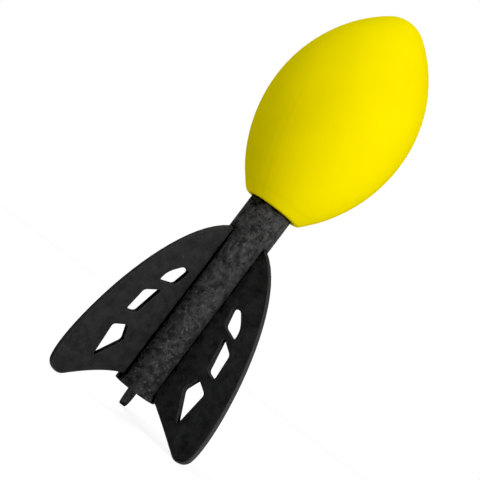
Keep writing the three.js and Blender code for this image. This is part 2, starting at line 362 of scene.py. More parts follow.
def bent_cells(tree, place):
    """How far a place is from the middle of its cell's pit, as a share of the pit's radius."""
    bend = add_node(tree, "ShaderNodeTexNoise", {"Vector": place, "Scale": BEND_GRAINS, "Detail": 1.0})
    off_middle = add_vector_math(tree, "SUBTRACT", bend.outputs["Color"], (0.5, 0.5, 0.5))
    bent = add_vector_math(tree, "ADD", place, add_scaled(tree, off_middle, CELL_BEND))
    cells = add_node(tree, "ShaderNodeTexVoronoi", {"Vector": bent, "Scale": CELL_SCALE})
    split = "ShaderNodeSeparateColor" if tree.type == "SHADER" else "FunctionNodeSeparateColor"
    cell_red = add_node(tree, split, {0: cells.outputs["Color"]}).outputs[0]
    pit_size = add_range(tree, cell_red, 0.0, 1.0, SMALL_PIT, LARGE_PIT)
    return add_math(tree, "DIVIDE", cells.outputs["Distance"], pit_size)


print("pits, mm apart:", round(1000 / CELL_SCALE, 1))

# %% [markdown]
# Where the sleeve meets a fin or the football there is a dark strip of glue. For some millimetres beside
# each joint the foam is also painted darker, as painted shade in the corner. The mesh has an attribute called
# joint with the distance to the nearest joint, and a noise makes the edges of both ragged. The sleeve's grey
# is also darker towards the tail end than at the neck.

# %% Speckled sleeve foam
CHARCOAL = (0.0355, 0.0351, 0.0355, 1)
ASH = (0.0752, 0.0744, 0.0754, 1)
# The grey towards the tail end is darker.
TAIL_END_ASH = (0.0585, 0.058, 0.0588, 1)
FLECK = (0.103, 0.102, 0.102, 1)
PIT_BLACK = (0.026, 0.026, 0.026, 1)
GLUE_BLACK = (0.036, 0.036, 0.036, 1)
CLOUD_GRAINS, FLECK_GRAINS, CURL_GRAINS, CURL_PLACE_GRAINS = 255, 500, 250, 200
GLUE_AND_SHADE_GRAINS, SLEEVE_GRAINS = 520, 1000
SLEEVE_RELIEF = 0.00014
DARKENING_HEIGHT = 0.13  # above the tail's end
GLUE_AND_SHADE_RAGGEDNESS = 0.0013
GLUE_FROM, GLUE_TO = 0.0002, 0.0017  # metres from a joint over which the glue ends
# How far the painted shade beside a joint reaches, and how dark it is there.
PAINTED_SHADE_REACH, PAINTED_SHADE_SHARE = 0.0075, 0.55  # metres from a joint, and the share of charcoal at it

sleeve_foam, tree, shader, place = new_finish("speckled sleeve foam", roughness=0.95, specular=0.05)
shader.inputs["Sheen Weight"].default_value = 0.13
shader.inputs["Sheen Roughness"].default_value = 0.4
clouds = add_range(tree, add_noise(tree, place, CLOUD_GRAINS, 3, 0.56), 0.36, 0.64)
# Below this height the grey darkens towards the tail end.
towards_tail_end = add_range(tree, add_split(tree, place)["Z"], DARKENING_HEIGHT, 0.0)
grey = add_mix(tree, clouds, CHARCOAL, add_mix(tree, towards_tail_end, ASH, TAIL_END_ASH))
flecks = add_range(tree, add_noise(tree, place, FLECK_GRAINS), 0.61, 0.75)
curl_line = add_range(tree, add_gap(tree, add_noise(tree, place, CURL_GRAINS, 1), 0.5), 0.024, 0.006)
curl_places = add_range(tree, add_noise(tree, place, CURL_PLACE_GRAINS, 1), 0.51, 0.59)
light_marks = add_math(tree, "MAXIMUM", flecks, add_product(tree, curl_line, curl_places))
flecked = add_mix(tree, light_marks, grey, FLECK)
pits = add_range(tree, bent_cells(tree, place), 1.2, 0.5)
pitted = add_mix(tree, pits, flecked, PIT_BLACK)
glue_and_shade_noise = add_noise(tree, place, GLUE_AND_SHADE_GRAINS, 3, 0.6)
ragged = add_range(tree, glue_and_shade_noise, 0.3, 0.7, -GLUE_AND_SHADE_RAGGEDNESS, GLUE_AND_SHADE_RAGGEDNESS)
near_joint = add_math(tree, "ADD", add_mark(tree, "joint"), ragged)
# Painted shade: near each joint the foam is painted towards charcoal, as shade in the corner.
painted_joint_shade = add_range(tree, near_joint, PAINTED_SHADE_REACH, 0.0, 0.0, PAINTED_SHADE_SHARE)
glue = add_range(tree, near_joint, GLUE_TO, GLUE_FROM)
sleeve_tone = add_mix(tree, glue, add_mix(tree, painted_joint_shade, pitted, CHARCOAL), GLUE_BLACK)
cut_grain = add_noise(tree, place, SLEEVE_GRAINS, 3, 0.65)
link_finish(sleeve_foam, shader, sleeve_tone, cut_grain, SLEEVE_RELIEF)

# %% [markdown]
# ### Black fin foam
# The fins are stamped from sheet. The sheet's faces are smooth, with a fine grain and a soft mottle. The
# stamped edge cuts through the cells, so it is rougher and greyer than the face, and its two corners are
# rubbed to a more even tone. The low end of the trailing edge, on which the toy lands and stands, is scuffed
# pale, and two fins' outer edges are worn too. The stamped sheet below has two attributes, corner and
# scuffed, that say where. Unlike a painted mask they follow the outline when a size changes.

# %% Face of the fin foam
FACE_BLACK = (0.0312, 0.0307, 0.0313, 1)
FACE_CHARCOAL = (0.0428, 0.0421, 0.0429, 1)
DUST = (0.062, 0.0613, 0.062, 1)
FACE_GRAINS, MOTTLE_GRAINS, DUST_GRAINS = 1500, 150, 900
FACE_RELIEF = 0.00004
FACE_ROUGHNESS = (0.78, 0.92)

fin_face, tree, shader, place = new_finish("black sheet foam", roughness=0.85, specular=0.08)
mottle = add_range(tree, add_noise(tree, place, MOTTLE_GRAINS, 4, 0.62), 0.33, 0.67)
dust = add_range(tree, add_noise(tree, place, DUST_GRAINS, 1), 0.70, 0.78)
fin_tone = add_mix(tree, dust, add_mix(tree, mottle, FACE_BLACK, FACE_CHARCOAL), DUST)
grain = add_noise(tree, place, FACE_GRAINS, 3, 0.6)
grain_roughness = add_range(tree, grain, 0.3, 0.7, *FACE_ROUGHNESS)
link_finish(fin_face, shader, fin_tone, grain, FACE_RELIEF, grain_roughness)

# %% Cut edge of the fin foam
WALL_BLACK = (0.035, 0.0346, 0.0348, 1)
WALL_GREY = (0.064, 0.0634, 0.0638, 1)
CORNER_BLACK = (0.037, 0.0366, 0.0368, 1)
CORNER_GREY = (0.058, 0.0575, 0.0578, 1)
SCUFF_GREY = (0.115, 0.114, 0.114, 1)
SCUFF_PALE = (0.15, 0.149, 0.149, 1)
TORN_GRAINS, SCUFF_GRAINS = 1100, 140
TORN_RELIEF = 0.00012
CORNER_SCUFF = 0.6  # share of the scuffing that shows on a corner

fin_edge, tree, shader, place = new_finish("cut edge of the sheet", roughness=0.95, specular=0.05)
torn = add_noise(tree, place, TORN_GRAINS, 3, 0.65)
torn_share = add_range(tree, torn, 0.33, 0.67)
wall_tone = add_mix(tree, torn_share, WALL_BLACK, WALL_GREY)
corner_tone = add_mix(tree, torn_share, CORNER_BLACK, CORNER_GREY)
scuffed_tone = add_mix(tree, torn_share, SCUFF_GREY, SCUFF_PALE)
corner = add_mark(tree, "corner")
unscuffed_tone = add_mix(tree, corner, wall_tone, corner_tone)
patchy = add_range(tree, add_noise(tree, place, SCUFF_GRAINS, 3, 0.6), 0.35, 0.65, 0.75, 1.0)
off_corner = add_range(tree, corner, 0.0, 1.0, 1.0, CORNER_SCUFF)
scuff_share = add_product(tree, add_mark(tree, "scuffed"), patchy, off_corner)
edge_tone = add_mix(tree, scuff_share, unscuffed_tone, scuffed_tone)
link_finish(fin_edge, shader, edge_tone, torn, TORN_RELIEF)

# %% [markdown]
# ### Plastics
# The core tube and its anchor are natural extruded and moulded plastic, and the plug in the tail's end is
# black. Moulded plastic has a fine spark texture from the mould. One function makes both finishes, because
# only their colour and shine differ.

# %% Plastics
CLOUD_SHADE = 0.85  # of the plastic's colour, in its darker clouds
PLASTIC_GRAINS, SPARK_GRAINS = 180, 2600
SPARK_RELIEF = 0.00003
SPARK_ROUGHNESS = 0.06  # more or less than the plastic's own


def plastic(name, colour, roughness):
    finish, tree, shader, place = new_finish(name, roughness, specular=0.5)
    darker = tuple(CLOUD_SHADE * channel for channel in colour[:3]) + (1,)
    cloud = add_range(tree, add_noise(tree, place, PLASTIC_GRAINS), 0.3, 0.7)
    spark = add_noise(tree, place, SPARK_GRAINS)
    smoothest, roughest = roughness - SPARK_ROUGHNESS, roughness + SPARK_ROUGHNESS
    spark_roughness = add_range(tree, spark, 0.3, 0.7, smoothest, roughest)
    link_finish(finish, shader, add_mix(tree, cloud, colour, darker), spark, SPARK_RELIEF, spark_roughness)
    return finish


natural_plastic = plastic("natural plastic", (0.72, 0.71, 0.67, 1), roughness=0.45)
black_plastic = plastic("black plastic", (0.02, 0.02, 0.021, 1), roughness=0.5)

# %% [markdown]
# ## Growing a piece with Geometry Nodes
# A tree is a recipe with named inputs. The last helper below gives an object the tree as a modifier, sets
# the inputs by their sockets' identifiers, and keeps the evaluated result as a plain mesh, which is what the
# export needs. An input that a piece doesn't set stays zero.

# %% Recipe helpers
WELD = 0.000001  # metres within which neighbouring points become one


def new_recipe(name, **inputs):
    """A tree with a geometry input and output, and the inputs whose names are listed for each kind."""
    tree = bpy.data.node_groups.new(name, "GeometryNodeTree")
    tree.interface.new_socket("Geometry", in_out="INPUT", socket_type="NodeSocketGeometry")
    for kind, names in inputs.items():
        for input_name in names:
            tree.interface.new_socket(input_name, in_out="INPUT", socket_type=f"NodeSocket{kind}")
    tree.interface.new_socket("Geometry", in_out="OUTPUT", socket_type="NodeSocketGeometry")
    return tree, add_node(tree, "NodeGroupInput").outputs


def add_field(tree, kind):
    return add_node(tree, "GeometryNodeInput" + kind).outputs[0]


def reshape(tree, kind, shape, **inputs):
    """A step that takes a shape by its first input and gives one by its first output."""
    return add_node(tree, "GeometryNode" + kind, {0: shape, **inputs}).outputs[0]


def store_mark(tree, shape, name, value):
    inputs = {0: shape, "Name": name, "Value": value}
    properties = {"data_type": "FLOAT", "domain": "POINT"}
    return add_node(tree, "GeometryNodeStoreNamedAttribute", inputs, **properties).outputs[0]


def read_mark(tree, name):
    return add_node(tree, "GeometryNodeInputNamedAttribute", {"Name": name}, data_type="FLOAT").outputs[0]


def join_shapes(tree, *shapes):
    joined = add_node(tree, "GeometryNodeJoinGeometry")
    for shape in shapes:
        tree.links.new(shape, joined.inputs[0])
    return joined.outputs[0]


def end_recipe(tree, shape):
    add_node(tree, "NodeGroupOutput", {0: reshape(tree, "RealizeInstances", shape)})
    print(tree.name, "recipe, nodes:", len(tree.nodes))


# %% Growing a piece
def grow(name, start, recipe, **sizes):
    """A plain mesh object that the recipe makes of a start mesh or curve."""
    seed = add_object(name + "_start", start)
    modifier = seed.modifiers.new("recipe", "NODES")
    modifier.node_group = recipe
    for socket in recipe.interface.items_tree:
        key = socket.name.lower().replace(" ", "_")
        if socket.in_out == "INPUT" and key in sizes:
            modifier[socket.identifier] = sizes[key]
    evaluated = seed.evaluated_get(bpy.context.evaluated_depsgraph_get())
    piece = add_object(name, bpy.data.meshes.new_from_object(evaluated))
    piece.data.name = name
    bpy.data.objects.remove(seed)
    print(name, "faces:", len(piece.data.polygons))
    return piece


# %% [markdown]
# ## Turned pieces
# The football is round about the tail's axis, so it is drawn as a half outline and turned, as on a lathe.
# The tree reads the outline's points by their numbers: the row of a grid picks the point and its column
# picks the angle. Merging by distance then closes the seam and the poles.
# The football was cast in a mould of two halves. Where they met there is a very shallow groove on two
# opposite sides, which drifts about 16 degrees round the football on its way to the nose. It is narrow, so
# the recipe crowds its columns along it, and spaces them wider in between. A Screw modifier would turn the
# outline too, but in even steps.

# %% The turning recipe: a grid turned round the axis
PARTING_SIZES = ["Parting Angle", "Parting Drift", "Parting Depth", "Parting Width", "Parting Top"]
LEAN_SIZES = ["Lean", "Lean From", "Lean To"]

turning, given = new_recipe(
    "turned piece",
    Int=["Segments"],
    Float=["Unevenness", "Lump Scale", "Crowding"] + PARTING_SIZES + LEAN_SIZES,
    Material=["Finish"],
)
outline_size = add_node(turning, "GeometryNodeAttributeDomainSize", {"Geometry": given["Geometry"]})
rows = outline_size.outputs["Point Count"]
columns = add_math(turning, "ADD", given["Segments"], 1.0)
sheet = add_node(turning, "GeometryNodeMeshGrid", {"Vertices X": rows, "Vertices Y": columns})
index = add_field(turning, "Index")
passed_rows = add_math(turning, "DIVIDE", add_math(turning, "ADD", index, 0.5), columns)
row = add_math(turning, "FLOOR", passed_rows)
column = add_math(turning, "FLOORED_MODULO", index, columns)
even_angle = add_product(turning, add_math(turning, "DIVIDE", column, given["Segments"]), math.tau)
double_sine = add_math(turning, "SINE", add_product(turning, even_angle, 2.0))
crowd = add_product(turning, double_sine, given["Crowding"], -0.5)
from_parting = add_math(turning, "ADD", even_angle, crowd)
sample = add_node(
    turning,
    "GeometryNodeSampleIndex",
    {"Geometry": given["Geometry"], "Index": row, "Value": add_field(turning, "Position")},
    data_type="FLOAT_VECTOR",
    domain="POINT",
)
drawn = add_split(turning, sample.outputs["Value"])
parting_drift = add_product(turning, drawn["Z"], given["Parting Drift"])
parting_angle = add_math(turning, "ADD", given["Parting Angle"], parting_drift)
angle = add_math(turning, "ADD", from_parting, parting_angle)
turned = add_vector(
    turning,
    add_product(turning, drawn["X"], add_math(turning, "COSINE", angle)),
    add_product(turning, drawn["X"], add_math(turning, "SINE", angle)),
    drawn["Z"],
)
shell = reshape(turning, "SetPosition", sheet.outputs["Mesh"], Position=turned)
beside_parting = add_product(turning, drawn["X"], add_math(turning, "SINE", from_parting))
marked = store_mark(turning, shell, "off_parting", add_gap(turning, beside_parting))
closed = reshape(turning, "MergeByDistance", marked, Distance=WELD)

# %% [markdown]
# Moulded foam is never perfectly round, so a slow noise presses the skin in by a fraction of a millimetre.
# The groove fades towards the nose, and the soft nose leans a little to one side.

# %% The turning recipe: lumps, groove and lean
FADE_LENGTH, FADED_SHARE = 0.03, 0.2  # metres over which the groove fades, and what is left of it

skin_place = add_field(turning, "Position")
lumps = add_noise(turning, skin_place, given["Lump Scale"], 1.0)
lump_press = add_product(turning, lumps, given["Unevenness"], -1.0)
off_parting = read_mark(turning, "off_parting")
groove = add_range(turning, off_parting, given["Parting Width"], 0.0, interpolation_type="SMOOTHSTEP")
height = add_split(turning, skin_place)["Z"]
above_top = add_math(turning, "SUBTRACT", height, given["Parting Top"])
fade = add_range(turning, above_top, 0.0, FADE_LENGTH, 1.0, FADED_SHARE)
groove_depth = add_product(turning, fade, given["Parting Depth"])
outward = add_math(turning, "SUBTRACT", lump_press, add_product(turning, groove, groove_depth))
press = add_scaled(turning, add_field(turning, "Normal"), outward)
pressed = reshape(turning, "SetPosition", closed, Offset=press)
lean_share = add_range(turning, height, given["Lean From"], given["Lean To"])
lean = add_product(turning, add_math(turning, "POWER", lean_share, 2.0), given["Lean"])
leant = reshape(turning, "SetPosition", pressed, Offset=add_vector(turning, x=lean))
smooth = reshape(turning, "SetShadeSmooth", leant)
end_recipe(turning, reshape(turning, "SetMaterial", smooth, Material=given["Finish"]))


# %% Outline helpers
ARC_STEP = 0.0006
FINE_STEP = 0.0003
FINEST_STEP = 0.0002


def arc(centre, radius, start, end, step=ARC_STEP):
    count = max(2, math.ceil(abs(end - start) * radius / step))
    angles = [start + (end - start) * i / count for i in range(count + 1)]
    return [(centre[0] + radius * math.cos(a), centre[1] + radius * math.sin(a)) for a in angles]


def outline_mesh(name, points):
    """A half outline, drawn from points that are a radius and a height."""
    mesh = bpy.data.meshes.new(name)
    edges = [(i, i + 1) for i in range(len(points) - 1)]
    mesh.from_pydata([(r, 0, z) for r, z in points], edges, [])
    print(name, "points:", len(points))
    return mesh


# %% [markdown]
# ## Football head
# The football's outline has four arcs that meet smoothly: a tip, the long nose arc, the long rear arc and a
# small rim round the flat rear face. Both long arcs stand upright at the belly. A stretched sphere could be
# pulled into shape instead, but arcs give a true curve from a few radii. The sleeve's seat and the core's
# bore run in from the rear face. The crease just above the rear face is a shallow dip in the outline.

# %% Football outline
TIP_RADIUS = 0.0217
REAR_RADIUS = 0.02  # where the rear arc would meet the rear face if its rim were sharp
RIM_RADIUS = 0.003
BELLY_SHARE = 0.4741  # height of the belly between the rear face and the nose
FIT_GAP = 0.0003
CREASE_DEPTH = 0.00018

head_low, head_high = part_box("head")
sleeve_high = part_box("tail_sleeve")[1]
core_low, core_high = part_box("core_tube")
anchor_low, anchor_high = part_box("anchor_plug")
belly_radius = head_high.x
sleeve_radius = sleeve_high.x
core_radius = core_high.x

belly_height = head_low.z + BELLY_SHARE * (head_high.z - head_low.z)
rear_length = belly_height - head_low.z
nose_length = head_high.z - belly_height


def football_outline():
    inset = belly_radius - REAR_RADIUS
    rear_arc = (rear_length ** 2 + inset ** 2) / (2 * inset)
    rear_centre = (belly_radius - rear_arc, belly_height)
    rim_reach = math.sqrt((rear_arc - RIM_RADIUS) ** 2 - (rear_length - RIM_RADIUS) ** 2)
    rim_centre = (rear_centre[0] + rim_reach, head_low.z + RIM_RADIUS)
    rim_angle = -math.asin((rear_length - RIM_RADIUS) / (rear_arc - RIM_RADIUS))

    tip_rise = nose_length - TIP_RADIUS
    nose_arc = (belly_radius ** 2 - TIP_RADIUS ** 2 + tip_rise ** 2) / (2 * (belly_radius - TIP_RADIUS))
    nose_centre = (belly_radius - nose_arc, belly_height)
    tip_angle = math.atan2(tip_rise, nose_arc - belly_radius)
    return (
        arc((0, belly_height + tip_rise), TIP_RADIUS, math.pi / 2, tip_angle)
        + arc(nose_centre, nose_arc, tip_angle, 0)[1:]
        + [(r - crease(z), z) for r, z in arc(rear_centre, rear_arc, 0, rim_angle)[1:]]
        + arc(rim_centre, RIM_RADIUS, rim_angle, -math.pi / 2, FINE_STEP)[1:]
    )


def crease(height):
    off_crease = (height - head_low.z - CREASE_HEIGHT) / CREASE_WIDTH
    return CREASE_DEPTH * math.exp(-off_crease ** 2)


# %% Football head
LEANING_LENGTH = 0.06  # of the nose

seat = [
    (sleeve_radius + FIT_GAP, head_low.z),
    (sleeve_radius + FIT_GAP, sleeve_high.z + FIT_GAP),
    (core_radius + FIT_GAP, sleeve_high.z + FIT_GAP),
    (core_radius + FIT_GAP, anchor_low.z),
    (anchor_high.x + FIT_GAP, core_high.z),
    (anchor_high.x + FIT_GAP, anchor_high.z + FIT_GAP),
    (0, anchor_high.z + FIT_GAP),
]
head = grow(
    "football_head",
    outline_mesh("football outline", football_outline() + seat),
    turning,
    segments=200,
    unevenness=0.00025,
    lump_scale=24.0,
    parting_angle=math.radians(-104.5),
    parting_drift=math.radians(-111),  # for each metre of height
    parting_depth=0.00009,
    parting_width=0.0023,
    parting_top=0.19,
    lean=-0.0009,
    lean_from=head_high.z - LEANING_LENGTH,
    lean_to=head_high.z,
    crowding=0.88,
    finish=yellow_skin,
)
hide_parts("head")
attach(head, "root")
print("football, mm:", round(2000 * belly_radius, 1), "by", round(1000 * (head_high.z - head_low.z), 1))

# %% [markdown]
# ## Speckled sleeve
# The sleeve is a foam tube with three slots for the fins. Booleans could cut the slots, but would leave long
# thin faces that can't be dented. So the sleeve is built ring by ring, and each ring has the same number of
# points, so neighbouring rings join with plain quads. Where there is a slot, the ring's points dip into it
# over a rounded lip, and a share from 0 to 1 says how far. The lips leave the narrow dark groove that runs
# along both sides of each fin's root.

# %% Slots and lips
FIN_COUNT = 3
FIN_AZIMUTH = math.radians(90)  # of the fin in the middle
ROOT_MARGIN = 0.005  # of bare sleeve below the fins' roots
ROOT_LENGTH = 0.1128
SLOT_DEPTH = 0.005
LIP_RADIUS = 0.0005
END_LIP_RADIUS = 0.0002
END_LIP_POINTS = 4
END_GAP = 0.0001
SLEEVE_EASE = 0.0005  # radius on the sleeve's two ends
SKIN_STEP = 0.00045

fin_low, fin_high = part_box("fin_2")
fin_thickness = fin_high.x - fin_low.x
fin_azimuths = [FIN_AZIMUTH + (i - 1) * math.tau / FIN_COUNT for i in range(FIN_COUNT)]
slot_half = fin_thickness / 2 + FIT_GAP
slot_low = ROOT_MARGIN - END_GAP
slot_high = ROOT_MARGIN + ROOT_LENGTH + END_GAP
lip_across = slot_half + LIP_RADIUS
lip_out = math.sqrt((sleeve_radius - LIP_RADIUS) ** 2 - lip_across ** 2)
lip_angle = math.atan2(lip_across, lip_out)
print("slots, mm:", round(2000 * slot_half, 2), "wide,", round(1000 * (slot_high - slot_low), 1), "long")

# %% Sleeve rings
def slot_side():
    """Half of a slot in section, from its middle out to where its lip meets the round, as (out, across)."""
    floor_out = sleeve_radius - SLOT_DEPTH
    side = [(floor_out, 0), (floor_out, slot_half), ((floor_out + lip_out) / 2, slot_half)]
    side += arc((lip_out, lip_across), LIP_RADIUS, -math.pi / 2, lip_angle, FINE_STEP)
    return side


def on_round(angle):
    return Vector((math.cos(angle), math.sin(angle))) * sleeve_radius


def sleeve_section():
    """One ring's points: their places on the round and in the slotted section, and whether they are skin."""
    half = slot_side()
    section = [(out, -across) for out, across in reversed(half)] + half[1:]
    slot_count = len(section)
    plain_angle = math.tau / FIN_COUNT - 2 * lip_angle
    plain_count = round(plain_angle * sleeve_radius / SKIN_STEP)
    ring = []
    for azimuth in fin_azimuths:
        turn = Matrix.Rotation(azimuth, 2)
        for i, point in enumerate(section):
            flat = on_round(azimuth + lip_angle * (2 * i / (slot_count - 1) - 1))
            ring.append((flat, turn @ Vector(point), i in (0, slot_count - 1)))
        for i in range(1, plain_count):
            flat = on_round(azimuth + lip_angle + plain_angle * i / plain_count)
            ring.append((flat, flat, True))
    return ring


# %% Sleeve rows
HIDDEN_SKIN = 0.002  # of skin with fine rows inside the football's seat


def steps(start, end, step=SKIN_STEP):
    count = max(1, round(abs(end - start) / step))
    return [start + (end - start) * i / count for i in range(count + 1)]


def lip_profile(edge, side):
    """The rounded lip at a slot's end, from the outside down to the slot's wall, as (height, share)."""
    profile = []
    for i in range(1, END_LIP_POINTS + 1):
        angle = math.pi / 2 * i / END_LIP_POINTS
        radius = sleeve_radius - END_LIP_RADIUS + END_LIP_RADIUS * math.cos(angle)
        height = edge + side * END_LIP_RADIUS - side * END_LIP_RADIUS * math.sin(angle)
        profile.append((height, (sleeve_radius - radius) / SLOT_DEPTH))
    return profile


def sleeve_rows():
    """Rows from the bore out over the rear face, up the outside and over the front: radius, height, share."""
    bore = core_radius + FIT_GAP
    eased = sleeve_radius - SLEEVE_EASE
    front = sleeve_high.z
    seat_top = front - SLEEVE_EASE
    rear_ease = arc((eased, SLEEVE_EASE), SLEEVE_EASE, -math.pi / 2, 0, FINEST_STEP)[1:]
    front_ease = arc((eased, seat_top), SLEEVE_EASE, 0, math.pi / 2, FINEST_STEP)[1:]
    up = [(z, 0.0) for z in steps(SLEEVE_EASE, slot_low - END_LIP_RADIUS)[1:]]
    up += lip_profile(slot_low, -1) + [(slot_low, 1.0)]
    up += [(z, 1.0) for z in steps(slot_low, slot_high)[1:]]
    up += reversed(lip_profile(slot_high, 1))
    up += [(z, 0.0) for z in steps(slot_high + END_LIP_RADIUS, head_low.z + HIDDEN_SKIN)[1:]]
    rows = [(radius, 0.0, 0.0) for radius in steps(bore, eased)]
    rows += [(radius, height, 0.0) for radius, height in rear_ease]
    rows += [(sleeve_radius, height, share) for height, share in up]
    rows += [(sleeve_radius, seat_top, 0.0)]
    rows += [(radius, height, 0.0) for radius, height in front_ease]
    rows += [(bore, front, 0.0)]
    return rows


# %% [markdown]
# Glue was spread by hand, so its strip is wider beside one fin than beside another, and there is less of it
# at the slots' ends and round the neck. The painted shade beside the joints widens and narrows with it.

# %% Sleeve mesh
# The spreads and stretches set the width of the painted shade as well as that of the glue.
GLUE_AND_SHADE_SPREADS = (0.6, 1.0, 1.15)  # how widely the glue has spread beside each fin
END_STRETCH, NECK_STRETCH = 1.8, 2.2  # of the distance to the joint, where there is less glue


def joint_gap(place, height):
    """How far a point is from a fin's side or the football, stretched where there is less glue and painted
    shade.
    """
    angle = math.atan2(place.y, place.x)
    beyond = END_STRETCH * max(0.0, height - slot_high, slot_low - height)
    gaps = [NECK_STRETCH * abs(head_low.z - height)]
    for azimuth, spread in zip(fin_azimuths, GLUE_AND_SHADE_SPREADS):
        turn = abs((angle - azimuth + math.pi) % math.tau - math.pi)
        gaps.append(math.hypot(beyond, max(0.0, turn - lip_angle) * sleeve_radius / spread))
    return min(gaps)


def sleeve_mesh():
    ring = sleeve_section()
    points, skin, joint = [], [], []
    for radius, height, share in sleeve_rows():
        for flat, slotted, is_skin in ring:
            place = (flat.lerp(slotted, share)) * (radius / sleeve_radius)
            points.append((place.x, place.y, height))
            skin.append(1.0 if is_skin or share == 0.0 else 0.0)
            joint.append(joint_gap(place, height))
    width = len(ring)
    rows = len(points) // width
    faces = []
    for i in range(rows):
        above = (i + 1) % rows
        for j in range(width):
            right = (j + 1) % width
            faces.append((i * width + j, i * width + right, above * width + right, above * width + j))
    mesh = bpy.data.meshes.new("sleeve")
    mesh.from_pydata(points, [], faces)
    mesh.attributes.new("skin", "FLOAT", "POINT").data.foreach_set("value", skin)
    mesh.attributes.new("joint", "FLOAT", "POINT").data.foreach_set("value", joint)
    print("sleeve rings:", rows, "of", width, "points")
    return mesh


# %% [markdown]
# ### Open cells
# The sleeve's surface is cut foam, so some cells lie open. A bump in the material would leave the sleeve's
# outline smooth, so the recipe below dents the mesh itself where the material paints a black pit, and
# roughens the rest a little. Both only press inwards, so that the sleeve keeps its size. The attribute called
# skin keeps the dents out of the slots.

# %% The open cell recipe
GRAZE_GRAINS = 500.0

celling, given = new_recipe("open cells", Float=["Pit Depth", "Graze Depth"], Material=["Finish"])
before_dents = add_field(celling, "Position")
pit = add_range(celling, bent_cells(celling, before_dents), 1.1, 0.3)
pit_depth = add_product(celling, pit, given["Pit Depth"])
graze = add_noise(celling, before_dents, GRAZE_GRAINS)
graze_depth = add_product(celling, graze, given["Graze Depth"])
depth = add_math(celling, "ADD", pit_depth, graze_depth)
inward = add_product(celling, depth, read_mark(celling, "skin"), -1.0)
dent = add_scaled(celling, add_field(celling, "Normal"), inward)
dented = reshape(celling, "SetPosition", given["Geometry"], Offset=dent)
rounded = reshape(celling, "SetShadeSmooth", dented)
end_recipe(celling, reshape(celling, "SetMaterial", rounded, Material=given["Finish"]))

# %% Foam sleeve
sleeve = grow(
    "foam_sleeve",
    sleeve_mesh(),
    celling,
    pit_depth=0.00025,
    graze_depth=0.00012,
    finish=sleeve_foam,
)
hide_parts("tail_sleeve")
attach(sleeve, "root")

# %% [markdown]
# ## Die-cut fins
# A fin is a flat sheet. A slab could be cut with booleans and get a Bevel modifier, but that creases where
# curves meet. So the outline is drawn with Bezier curves and filled, and the edge is a narrow moulding with
# two rounded corners, swept along the outline and round each cutout. The outline runs anticlockwise and the
# cutouts clockwise, so the curve's normal always points off the foam, and one profile serves both.

# %% Fin sizes
TIP_REACH = 0.0602  # from the axis to the outside of the tip's arc
FIN_TIP_RADIUS = 0.0078
LEADING_ANGLE = math.radians(-18)  # where the leading edge meets the tip's arc
TRAILING_HANDLE_SHARE = 0.56  # of the span
LEADING_TIP_HANDLE_SHARE = 0.165  # of the root's length
LEADING_ROOT_HANDLE_SHARES = (0.81, 0.19)  # of the span and of the root's length
TONGUE_GAP = 0.0003  # between the fin's root and the slot's floor
EDGE_RADIUS = 0.0008

fin_span = TIP_REACH - sleeve_radius
root_top = ROOT_MARGIN + ROOT_LENGTH
fin_tip_centre = Vector((TIP_REACH - FIN_TIP_RADIUS, cad_low.z + FIN_TIP_RADIUS))
print("fin, mm:", round(1000 * fin_thickness, 2), "thick,", round(1000 * fin_span, 1), "outside the sleeve")

# %% Fin outline
def on_tip(angle):
    """A point on the tip's arc and the direction of travel there, anticlockwise."""
    out = Vector((math.cos(angle), math.sin(angle)))
    return fin_tip_centre + out * FIN_TIP_RADIUS, Vector((-out.y, out.x))


def on_fin(across, along):
    """A place in the sheet's plane, as shares of the span and of the root's length."""
    return Vector((sleeve_radius + across * fin_span, ROOT_MARGIN + along * ROOT_LENGTH))


def sharp(reach, height):
    """A knot for a sharp corner, which has both handles in its own place."""
    return (Vector((reach, height)),) * 3


def outline_knots(trailing_angle, heel):
    """The outline. The trailing edge meets the tip's arc at that angle. A heel reaches below the slot."""
    tongue = sleeve_radius - SLOT_DEPTH + TONGUE_GAP
    heel_line = sleeve_radius + (TONGUE_GAP if heel else 0.0)
    trailing_root = Vector((heel_line, ROOT_MARGIN - heel))
    leading_root = Vector((sleeve_radius, root_top))
    trailing, trailing_travel = on_tip(trailing_angle)
    leading, leading_travel = on_tip(LEADING_ANGLE)
    middle_angle = (trailing_angle + LEADING_ANGLE) / 2
    middle, middle_travel = on_tip(middle_angle)
    handle = 4 / 3 * math.tan((middle_angle - trailing_angle) / 4) * FIN_TIP_RADIUS
    pull = trailing - trailing_travel * TRAILING_HANDLE_SHARE * fin_span
    leading_pull = leading + leading_travel * LEADING_TIP_HANDLE_SHARE * ROOT_LENGTH
    across, down = LEADING_ROOT_HANDLE_SHARES
    root_pull = leading_root + Vector((across * fin_span, -down * ROOT_LENGTH))
    return [
        sharp(tongue, ROOT_MARGIN),
        *([sharp(heel_line, ROOT_MARGIN)] if heel else []),
        (trailing_root, trailing_root, trailing_root.lerp(pull, 2 / 3)),
        (trailing.lerp(pull, 2 / 3), trailing, trailing + trailing_travel * handle),
        (middle - middle_travel * handle, middle, middle + middle_travel * handle),
        (leading - leading_travel * handle, leading, leading_pull),
        (root_pull, leading_root, leading_root),
        sharp(tongue, root_top),
    ]


# %% [markdown]
# ### Cutouts
# Each fin has a row of three cutouts. Their corners are places on the fin, as shares of its span and of its
# root's length, and each corner is cut back and rounded with one Bezier curve. The top cutout's outer corner
# is cut back so far that it is a bow.

# %% Cutouts
CORNER_CUT = 0.002
BOWED_CUT = 0.008
TOP_CUTOUT = ((0.203, 0.543), (0.445, 0.51), (0.421, 0.579), (0.254, 0.657), (0.137, 0.652))
MIDDLE_CUTOUT = ((0.412, 0.297), (0.569, 0.278), (0.532, 0.43), (0.309, 0.486))
LOWER_CUTOUT = ((0.297, 0.139), (0.535, -0.031), (0.588, 0.183), (0.388, 0.227))
TOP_BOWED_CORNER = 2
ROW_MIDDLE_SHARES = (0.4, 0.36)  # a row of cutouts turns about this place
OUTLINE_RESOLUTION, CUTOUT_RESOLUTION = 24, 6  # points to a stretch of curve


